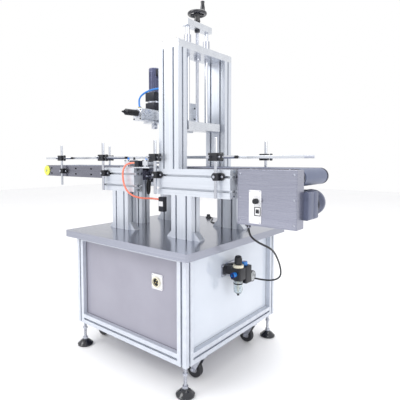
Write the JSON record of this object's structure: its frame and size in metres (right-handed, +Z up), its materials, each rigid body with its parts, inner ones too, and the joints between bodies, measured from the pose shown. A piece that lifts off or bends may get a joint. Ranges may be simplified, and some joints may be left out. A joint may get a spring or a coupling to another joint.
{
  "type": "capping machine",
  "caption": "Semi-automatic bottle capping machine: a belt conveyor on a wheeled cabinet, with a capping head on a hand-cranked lift gantry, guide rails, drive box and air regulator.",
  "frame": {"origin": "centre of the overall outline on the floor, under the middle of the conveyor's length", "axes": "+X along the belt from infeed to drive end, +Y away from the operator towards the rear door, +Z up"},
  "size_m": [1.622, 0.694, 1.456],
  "materials": {
    "anodised_aluminium": "clear anodised, satin",
    "machined_aluminium": "machined, satin",
    "brushed_stainless": "brushed",
    "grey_panel": "satin",
    "gloss_panel": "gloss",
    "black_plastic": "fine grain",
    "dark_casting": "satin",
    "belt_rubber": "smooth",
    "tyre_rubber": "matt",
    "bright_steel": "polished",
    "white_plastic": "satin",
    "blue_hose": "smooth",
    "orange_hose": "smooth",
    "black_cable": "satin",
    "grey_rail_plastic": "satin"
  },
  "bodies": {
    "machine": {"beam_posts": "anodised_aluminium", "belt": "belt_rubber", "cabinet_frame": "anodised_aluminium", "cabinet_panels": "grey_panel", "caster_plates": "bright_steel", "control_modules": "white_plastic", "conveyor_bed": "brushed_stainless", "conveyor_sides": "machined_aluminium", "cross_beams": "anodised_aluminium", "door_hinges": "bright_steel", "drive_box": "brushed_stainless", "gantry_columns": "anodised_aluminium", "gearmotor": "dark_casting", "guide_rod_bases": "black_plastic", "lift_bearings": "bright_steel", "main_cable": "black_cable", "panel_fittings": "black_plastic", "regulator": "black_plastic", "right_panel": "gloss_panel", "sensor_hank": "black_cable", "speed_panel": "white_plastic", "stop_cylinders": "machined_aluminium", "stop_hose": "orange_hose", "table_cable": "black_cable", "top_plate": "machined_aluminium", "worktop": "brushed_stainless"},
    "feet": {"levelling_feet": "black_plastic"},
    "door": {"rear_door": "grey_panel"},
    "carriage": {"carriage_plate": "machined_aluminium", "guide_shafts": "bright_steel", "crosshead": "machined_aluminium", "head_cylinder": "machined_aluminium"},
    "screw": {"lift_screw": "bright_steel", "handwheel": "black_plastic"},
    "crank": {"crank_handle": "black_plastic"},
    "head": {"head_arm": "machined_aluminium", "head_housing": "machined_aluminium", "head_gearbox": "dark_casting", "head_motor": "dark_casting", "head_hose": "blue_hose"},
    "chuck": {"spindle": "bright_steel"},
    "drive_drum": {"drive_roller": "bright_steel"},
    "idler_drum": {"idler_roller": "bright_steel"},
    "drive_pinion": {"motor_sprocket": "bright_steel"},
    "speed_dial": {"speed_knob": "black_plastic"},
    "power_rocker": {"rocker_switch": "black_plastic"},
    "front_posts": {"front_guide_posts": "bright_steel"},
    "rear_posts": {"rear_guide_posts": "bright_steel"},
    "front_rail": {"front_guide_rail": "grey_rail_plastic"},
    "rear_rail": {"rear_guide_rail": "grey_rail_plastic"},
    "air_dial": {"regulator_knob": "black_plastic"},
    "stops": {"stop_rods": "bright_steel"},
    "fork_rear_left": {"caster_fork_rear_left": "bright_steel"},
    "wheel_rear_left": {"caster_wheel_rear_left": "tyre_rubber"},
    "fork_rear_right": {"caster_fork_rear_right": "bright_steel"},
    "wheel_rear_right": {"caster_wheel_rear_right": "tyre_rubber"},
    "fork_front_left": {"caster_fork_front_left": "bright_steel"},
    "wheel_front_left": {"caster_wheel_front_left": "tyre_rubber"},
    "fork_front_right": {"caster_fork_front_right": "bright_steel"},
    "wheel_front_right": {"caster_wheel_front_right": "tyre_rubber"}
  },
  "joints": [
    {"name": "foot_levelling", "type": "slide", "parent": "machine", "child": "feet", "axis": [0, 0, 1], "range_m": [0, 0.025]},
    {"name": "door_swing", "type": "hinge", "parent": "machine", "child": "door", "pos_m": [-0.084, 0.319, 0.3035], "axis": [0, 0, 1], "range_deg": [0, 110]},
    {"name": "carriage_lift", "type": "slide", "parent": "machine", "child": "carriage", "axis": [0, 0, 1], "range_m": [-0.018, 0.12]},
    {"name": "screw_turn", "type": "hinge", "parent": "carriage", "child": "screw", "pos_m": [0.288, 0, 1.345], "axis": [0, 0, 1], "range_deg": [-1700, 10900]},
    {"name": "crank_spin", "type": "hinge", "parent": "screw", "child": "crank", "pos_m": [0.296, 0.026, 1.43], "axis": [0, 0, 1], "continuous": true},
    {"name": "head_stroke", "type": "slide", "parent": "carriage", "child": "head", "axis": [0, 0, 1], "range_m": [-0.06, 0]},
    {"name": "chuck_spin", "type": "hinge", "parent": "head", "child": "chuck", "pos_m": [0.041, 0, 0.95], "axis": [0, 0, 1], "continuous": true},
    {"name": "drive_drum_spin", "type": "hinge", "parent": "machine", "child": "drive_drum", "pos_m": [0.766, 0, 0.744], "axis": [0, 1, 0], "continuous": true},
    {"name": "idler_drum_spin", "type": "hinge", "parent": "machine", "child": "idler_drum", "pos_m": [-0.705, 0, 0.744], "axis": [0, 1, 0], "continuous": true},
    {"name": "drive_pinion_spin", "type": "hinge", "parent": "machine", "child": "drive_pinion", "pos_m": [0.766, -0.134, 0.656], "axis": [0, 1, 0], "continuous": true},
    {"name": "speed_dial_turn", "type": "hinge", "parent": "machine", "child": "speed_dial", "pos_m": [0.66, -0.165, 0.668], "axis": [0, -1, 0], "range_deg": [-150, 150]},
    {"name": "power_rocker_tilt", "type": "hinge", "parent": "machine", "child": "power_rocker", "pos_m": [0.662, -0.156, 0.634], "axis": [1, 0, 0], "range_deg": [-12, 12]},
    {"name": "front_post_height", "type": "slide", "parent": "machine", "child": "front_posts", "axis": [0, 0, 1], "range_m": [-0.005, 0.045]},
    {"name": "rear_post_height", "type": "slide", "parent": "machine", "child": "rear_posts", "axis": [0, 0, 1], "range_m": [-0.005, 0.045]},
    {"name": "front_rail_reach", "type": "slide", "parent": "front_posts", "child": "front_rail", "axis": [0, 1, 0], "range_m": [-0.014, 0.02]},
    {"name": "rear_rail_reach", "type": "slide", "parent": "rear_posts", "child": "rear_rail", "axis": [0, 1, 0], "range_m": [-0.02, 0.02]},
    {"name": "air_dial_turn", "type": "hinge", "parent": "machine", "child": "air_dial", "pos_m": [0.521, -0.05, 0.428], "axis": [0, 0, 1], "range_deg": [-720, 720]},
    {"name": "stop_reach", "type": "slide", "parent": "machine", "child": "stops", "axis": [0, 1, 0], "range_m": [0, 0.03]},
    {"name": "swivel_rear_left", "type": "hinge", "parent": "machine", "child": "fork_rear_left", "pos_m": [-0.088, 0.183, 0.09], "axis": [0, 0, 1], "continuous": true},
    {"name": "roll_rear_left", "type": "hinge", "parent": "fork_rear_left", "child": "wheel_rear_left", "pos_m": [-0.116, 0.183, 0.033], "axis": [0, 1, 0], "continuous": true},
    {"name": "swivel_rear_right", "type": "hinge", "parent": "machine", "child": "fork_rear_right", "pos_m": [0.448, 0.183, 0.09], "axis": [0, 0, 1], "continuous": true},
    {"name": "roll_rear_right", "type": "hinge", "parent": "fork_rear_right", "child": "wheel_rear_right", "pos_m": [0.42, 0.183, 0.033], "axis": [0, 1, 0], "continuous": true},
    {"name": "swivel_front_left", "type": "hinge", "parent": "machine", "child": "fork_front_left", "pos_m": [-0.088, -0.183, 0.09], "axis": [0, 0, 1], "continuous": true},
    {"name": "roll_front_left", "type": "hinge", "parent": "fork_front_left", "child": "wheel_front_left", "pos_m": [-0.116, -0.183, 0.033], "axis": [0, 1, 0], "continuous": true},
    {"name": "swivel_front_right", "type": "hinge", "parent": "machine", "child": "fork_front_right", "pos_m": [0.448, -0.183, 0.09], "axis": [0, 0, 1], "continuous": true},
    {"name": "roll_front_right", "type": "hinge", "parent": "fork_front_right", "child": "wheel_front_right", "pos_m": [0.42, -0.183, 0.033], "axis": [0, 1, 0], "continuous": true}
  ],
  "couplings": [
    {"joint": "screw_turn", "follows": "carriage_lift", "rad_per_m": 1570.8},
    {"joint": "idler_drum_spin", "follows": "drive_drum_spin", "ratio": 1},
    {"joint": "drive_pinion_spin", "follows": "drive_drum_spin", "ratio": 1}
  ]
}
